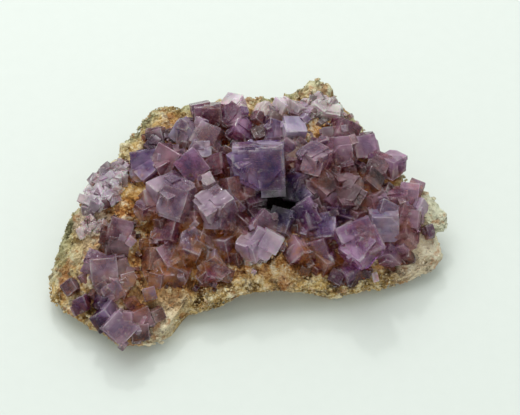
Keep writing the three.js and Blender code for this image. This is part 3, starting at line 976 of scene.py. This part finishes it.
def fluoriteMaterial():
    look = fluoriteLook
    material, w = newMaterial("purpleFluorite")
    coords = w.node("ShaderNodeTexCoord", None, None, "Object")
    tone = w.attribute("tone")
    edge = w.attribute("tone", "Alpha")
    inner = w.attribute("inner")
    mark = w.attribute("inner", "Alpha")
    foot = w.attribute("foot", "Fac")

    def tinted(name):
        return tone.mixed(look[name][0], look[name][1])

    # 1 along a crystal's edges, 0 in the middle of its faces
    x, y, z = [(c - 0.5).math("ABSOLUTE") * 2 for c in inner.parts()]
    outer = x.math("MAXIMUM", y).math("MAXIMUM", z)
    nearEdge = x + y + z - outer - x.math("MINIMUM", y).math("MINIMUM", z)
    # how pale a crystal is by its own colour, for it decides how deep its middle looks
    paleness = tone.mixed(1.0, (0.3, 0.6, 0.1, 1), "MULTIPLY").parts()
    paleness = (paleness[0] + paleness[1] + paleness[2]).step(0.25, 0.8)
    # patterns that the colours share, in waves to the metre, and to the crystal for the streaks
    cloud = w.noise(coords, 190, 3)
    warmth = w.noise(coords, 115, 3, 0.6)
    fleck = w.noise(coords, 1500, 3)
    streak = w.noise(inner.stretched(2, 11, 5), 1.6, 2, 0.5)
    stain = w.noise(coords, 330, 5, 0.65)
    frost = w.noise(coords, 520, 6, 0.7).step(0.5, 0.72)
    frost = frost * (0.06 + mark.step(0.75, 0.95) * (0.3 + paleness * 0.7) + paleness.step(0.75, 1.0) * 0.6)
    # a deep middle under lighter zones and growth blocks
    deeper = tone.mixed(1 - paleness * 0.75, look["deepTint"], "MULTIPLY")
    zone = (nearEdge * 0.5 + w.noise(coords, 150, 4, 0.6) * 1.7 - 0.75).step(0.1, 0.75)
    colour = deeper.mixed(zone, tinted("zoneTint"))
    mosaic = w.cells(inner.shifted(mark * 7), 2.3, {"distance": "CHEBYCHEV"}, "Color").parts()
    colour = colour.mixed(mosaic[0].step(0.5, 0.9) * 0.25, tinted("lightBlockTint"))
    darkBlock = tone.mixed(1.0, look["darkBlockTint"], "MULTIPLY")
    colour = colour.mixed(mosaic[1].step(0.5, 0.9) * 0.4, darkBlock)
    # warm and glowing clouds, streaks, frost and fine mottling
    low = 1 - (foot + (cloud - 0.5) * 4).step(-0.2, 4.4)
    warm = warmth.step(0.48, 0.62) * (mark.step(0.55, 0.75) * 0.4 + low * 0.4)
    colour = colour.mixed(warm, tinted("warmTint"))
    glow = w.noise(coords, 140, 2).step(0.46, 0.68)
    colour = colour.mixed(glow * (0.3 + mark * 0.3), tinted("glowTint"))
    colour = colour.mixed(streak.step(0.5, 0.72) * 0.3, tinted("streakTint"))
    colour = colour.mixed(frost * 0.5, look["frostTint"])
    mottle = w.noise(coords, 850, 5, 0.75).step(0.5, 0.7)
    colour = colour.mixed(mottle * 0.16, tinted("mottleTint"))
    # painted shade, darker and redder toward the rock between the crystals, with rust at the foot and stain
    # in some places
    footShadeTint = tone.mixed(1.0, look["footShadeTint"], "MULTIPLY")
    colour = colour.mixed(low * (0.95 - paleness * 0.8), footShadeTint)
    rust = (1 - foot.step(-0.5, 3.0)) * stain.step(0.46, 0.62)
    colour = colour.mixed(rust * 0.8, look["rustTint"])
    stained = (stain * 0.7 + warmth * 0.5 - foot * 0.02).step(0.48, 0.64)
    for *place, radius in look["stains"]:
        near = coords.near(place, radius * look["core"], radius) * stained
        colour = colour.mixed(near * 0.7, look["stainTint"])
    # painted highlights: pale borders, sparkles that stand for glints, and thin light edges
    border = nearEdge.step(0.78, 1.0) * (0.25 + cloud.step(0.4, 0.62) * 0.75)
    colour = colour.mixed(border * 0.75, tinted("borderHighlightTint"))
    sparkle = w.cells(coords, 1100, None, "Color").parts()[0].step(0.9, 0.96) * fleck.step(0.42, 0.55)
    colour = colour.mixed(sparkle * 0.4, look["sparkleTint"])
    rimLight = edge * nearEdge.step(0.84, 0.92) * w.noise(coords, 420, 3, 0.7).step(0.44, 0.56)
    colour = colour.mixed(rimLight * (0.4 + cloud.step(0.4, 0.6) * 0.5), look["bevelHighlightTint"])
    thinHighlight = nearEdge.step(0.9, 0.97) * w.noise(coords, 300, 3, 0.6).step(0.42, 0.58)
    colour = colour.mixed(thinHighlight * 0.55, look["thinHighlightTint"])
    # painted shade in darker and redder places, last of all painted shade in the deep hollow
    for *place, radius, strength in look["redderShade"]:
        near = coords.near(place, radius * look["core"], radius)
        colour = colour.mixed(near * strength, colour.mixed(1.0, look["redderShadeTint"], "MULTIPLY"))
    colour = colour.mixed(coords.near(*look["hollow"]) * 0.95, look["hollowShadeTint"])
    # clear and milky fluorite, mixed where it is pale, frosted or lit along an edge
    height = w.noise(coords, 240, 2) + fleck * frost * 0.3 + streak * 0.25 + sparkle * 0.2
    bump = w.node("ShaderNodeBump", None, {
        "Strength": look["bumpStrength"], "Distance": look["bumpHeight"], "Height": height})
    clear = w.node("ShaderNodeBsdfPrincipled", None, {
        "Base Color": colour, "Roughness": 0.05 + cloud * 0.1 + frost * 0.3, "IOR": look["ior"],
        "Specular IOR Level": look["specular"], "Transmission Weight": look["transmission"],
        "Coat Weight": look["coat"], "Coat Roughness": look["coatRoughness"], "Normal": bump})
    milky = w.node("ShaderNodeBsdfPrincipled", None, {
        "Base Color": colour.mixed(*look["milkTint"]), "Roughness": look["milkRoughness"],
        "IOR": look["ior"], "Specular IOR Level": look["specular"], "Subsurface Weight": 1.0,
        "Subsurface Radius": look["milkDepth"], "Subsurface Scale": 1.0, "Normal": bump})
    share = paleness * 0.15 + paleness.step(0.8, 1.0) * 0.2 + frost * 0.2 + rimLight * 0.3 + glow * 0.2
    surface = w.node("ShaderNodeMixShader", None, {0: share, 1: clear, 2: milky})
    volume = w.node("ShaderNodeVolumeAbsorption", None, {
        "Color": look["absorption"], "Density": look["density"]})
    finishMaterial(w, surface, volume)
    return material


rockLook = {
    "specular": 0.3,
    "bumpStrength": 1.0,
    "bumpHeight": 0.0005,
    # colours from the low to the high places of the pattern, on the rock and on its rind
    "body": [(0.37, linear(104, 72, 36)), (0.44, linear(184, 146, 80)), (0.5, linear(224, 194, 132)),
             (0.57, linear(250, 238, 206))],
    "rind": [(0.39, linear(112, 114, 80)), (0.48, linear(166, 168, 130)), (0.57, linear(212, 210, 178))],
    # and on the bed that the crystals grow from
    "bed": [(0.4, linear(90, 42, 26)), (0.46, linear(168, 96, 38)), (0.51, linear(216, 162, 90)),
            (0.57, linear(244, 228, 200))],
    "lightSpeck": linear(236, 226, 200),
    "darkSpeck": linear(110, 78, 44),
    # painted shade in the low places of the pattern
    "creviceShadeTint": (0.42, 0.27, 0.16, 1),
    "pitTint": linear(80, 46, 28),
    "rustTint": linear(176, 106, 38),
    "darkTint": linear(72, 46, 28),
    # painted shade in the deep hollow
    "hollowShadeTint": linear(18, 7, 12),
    "hollow": ((8.5, 0, 13), 6, 11),  # its centre, how far its painted shade is quite dark, and where that ends
    # parts of the rock that have a colour of their own: x, y, z, radius, tint, strength
    "patches": [
        (-41, -4, 13, 6.5, linear(250, 232, 212), 0.9),
        (-40.5, -4, 12.5, 2, linear(120, 62, 34), 0.9),
        (-31.5, 5, 15, 5, linear(204, 164, 92), 0.8),
        (-22.5, -32, 6, 7, linear(246, 238, 214), 0.9),
        (39, 8, 14, 4.5, linear(172, 124, 54), 0.85),
        (17, 32, 19, 4, linear(206, 174, 100), 0.7),
        (51, 1, 11, 9, linear(238, 238, 216), 0.9),
        (-49, -14, 9, 8, linear(172, 172, 130), 0.6),
        (46, 1, 13, 1.6, linear(172, 86, 36), 0.8),
        (18, 36, 21, 6, linear(228, 224, 190), 0.85),
        (44, -12, 8, 10, linear(250, 238, 220), 0.85),
        (9, -20, 7, 6, linear(176, 130, 78), 0.4),
        (-17, -23, 5, 5, linear(150, 118, 76), 0.5),
        (4, -21, 6, 9, linear(164, 122, 70), 0.4),
        (-20, -26, 7, 5, linear(230, 212, 172), 0.6),
        (-41, -11, 10, 6, linear(228, 212, 174), 0.6),
        (-26, -22, 8, 6, linear(214, 178, 128), 0.6),
    ],
    "patchCore": 0.6,  # the share of a patch's radius where its colour is full
    "patchTint": 0.65,  # how far its colour covers the rock's own
}


def rockMaterial():
    look = rockLook
    material, w = newMaterial("brokenRock")
    coords = w.node("ShaderNodeTexCoord", None, None, "Object")
    proud, rindShare, part = w.attribute("wear").parts()
    # patterns that the colours share, in waves to the metre
    broad = w.noise(coords, 95, 5, 0.6)
    lump = w.noise(coords, 360, 5, 0.7)
    grain = w.noise(coords, 1300, 5, 0.8)
    # proud places come out lighter and sunken ones darker: painted shade
    mix = grain * 0.3 + lump * 0.35 + broad * 0.25 + proud * 0.1
    # the broken rock with its specks, the rind on the old faces and the bed under the crystals
    colour = mix.ramp(*look["body"])
    speck = w.cells(coords, 1250, None, "Color").parts()[0]
    colour = colour.mixed(speck.step(0.7, 0.8) * 0.4, look["lightSpeck"])
    colour = colour.mixed((1 - speck.step(0.16, 0.22)) * 0.5, look["darkSpeck"])
    oldFace = rindShare * w.noise(coords, 130, 4).step(0.34, 0.54)
    colour = colour.mixed(oldFace * 0.85, mix.ramp(*look["rind"]))
    bed = grain * 0.4 + w.noise(coords, 300, 4) * 0.5 + proud * 0.1
    colour = colour.mixed((1 - part.step(0.36, 0.46)) * 0.85, bed.ramp(*look["bed"]))
    for x, y, z, radius, tint, strength in look["patches"]:
        near = coords.far(x * mm, y * mm, z * mm) + (lump - 0.5) * (radius * mm)
        near = 1 - near.step(radius * look["patchCore"] * mm, radius * mm)
        colour = colour.mixed(near * strength, colour.mixed(look["patchTint"], tint))
    # painted shade in the low places of the pattern, as in crevices, then pits, rust and dark stains, last
    # of all painted shade in the deep hollow
    creviceShade = colour.mixed(1.0, look["creviceShadeTint"], "MULTIPLY")
    colour = colour.mixed((1 - mix.step(0.38, 0.5)) * 0.4, creviceShade)
    pit = (w.noise(coords, 230, 5, 0.7) * 0.6 + mix * 0.4).step(0.525, 0.585)
    colour = colour.mixed(pit * (1 - rindShare * 0.6) * 0.7, look["pitTint"])
    rust = (w.noise(coords, 190, 6, 0.7) + (broad - 0.5) * 0.3).step(0.53, 0.63)
    colour = colour.mixed(rust * 0.6, look["rustTint"])
    dark = w.noise(coords, 420, 5, 0.7).step(0.56, 0.65)
    colour = colour.mixed(dark * 0.65, look["darkTint"])
    colour = colour.mixed(coords.near(*look["hollow"]) * 0.98, look["hollowShadeTint"])
    height = grain + w.cells(coords, 1500) * 0.8 + lump * 1.5
    bump = w.node("ShaderNodeBump", None, {
        "Strength": look["bumpStrength"], "Distance": look["bumpHeight"], "Height": height})
    surface = w.node("ShaderNodeBsdfPrincipled", None, {
        "Base Color": colour, "Roughness": 0.6 + grain * 0.3, "Specular IOR Level": look["specular"],
        "Normal": bump})
    finishMaterial(w, surface)
    return material


fluorite = fluoriteMaterial()
for index, (name, rows) in enumerate(crystals.items()):
    piece = buildCrystals(name, rows, seeds["crystals"] + index)
    dress(piece, fluorite, name)
dress(buildFineDruse(), fluorite)
brokenRock = rockMaterial()
dress(buildRock(), brokenRock, "matrix")
dress(buildGrains(), brokenRock)

studio = {
    "elevation": 55,  # degrees the camera looks down
    "distance": 0.42,
    "target": (0.0027, 0.0063, 0.0044),
    "lens": 107.7,
    "clipStart": 0.01,
    # place, size and power of each lamp
    "lamps": [("window", (-0.18, 0.41, 0.79), 0.8, 4.8), ("glint", (-0.1, 0.55, 0.62), 0.07, 1.0)],
    "ambient": (0.94, 1.0, 0.95, 1),
    "ambientStrength": 0.78,
    "floorSize": 2.5,
    "floorTints": [(0.0, (0.65, 0.685, 0.655)), (1.0, (0.675, 0.71, 0.68))],
    "floorRoughness": 0.75,
}


def floorMaterial():
    material, w = newMaterial("paleSheet")
    coords = w.node("ShaderNodeTexCoord", None, None, "Object")
    colour = w.noise(coords, 300, 3).ramp(*studio["floorTints"])
    surface = w.node("ShaderNodeBsdfPrincipled", None, {
        "Base Color": colour, "Roughness": studio["floorRoughness"]})
    finishMaterial(w, surface)
    return material


def buildStudio():
    bm = bmesh.new()
    bmesh.ops.create_grid(bm, x_segments=2, y_segments=2, size=studio["floorSize"])
    floor = meshObject(bm, "floor_sheet")
    floor.data.materials.append(floorMaterial())
    angle = math.radians(studio["elevation"])
    back = Vector((0, -math.cos(angle), math.sin(angle)))
    cameraData = bpy.data.cameras.new("camera")
    camera = bpy.data.objects.new("camera", cameraData)
    bpy.context.scene.collection.objects.link(camera)
    camera.location = Vector(studio["target"]) + back * studio["distance"]
    camera.rotation_euler = back.to_track_quat("Z", "Y").to_euler()
    cameraData.lens = studio["lens"]
    cameraData.clip_start = studio["clipStart"]
    bpy.context.scene.camera = camera
    for name, place, size, power in studio["lamps"]:
        data = bpy.data.lights.new(name, "AREA")
        data.size = size
        data.energy = power
        lamp = bpy.data.objects.new(name, data)
        lamp.location = place
        lamp.rotation_euler = Vector(place).to_track_quat("Z", "Y").to_euler()
        bpy.context.scene.collection.objects.link(lamp)
    world = bpy.data.worlds.new("studio")
    world.use_nodes = True
    world.node_tree.nodes["Background"].inputs["Color"].default_value = studio["ambient"]
    world.node_tree.nodes["Background"].inputs["Strength"].default_value = studio["ambientStrength"]
    bpy.context.scene.world = world
    bpy.context.scene.view_settings.view_transform = "Standard"
    print("studio ready")


buildStudio()
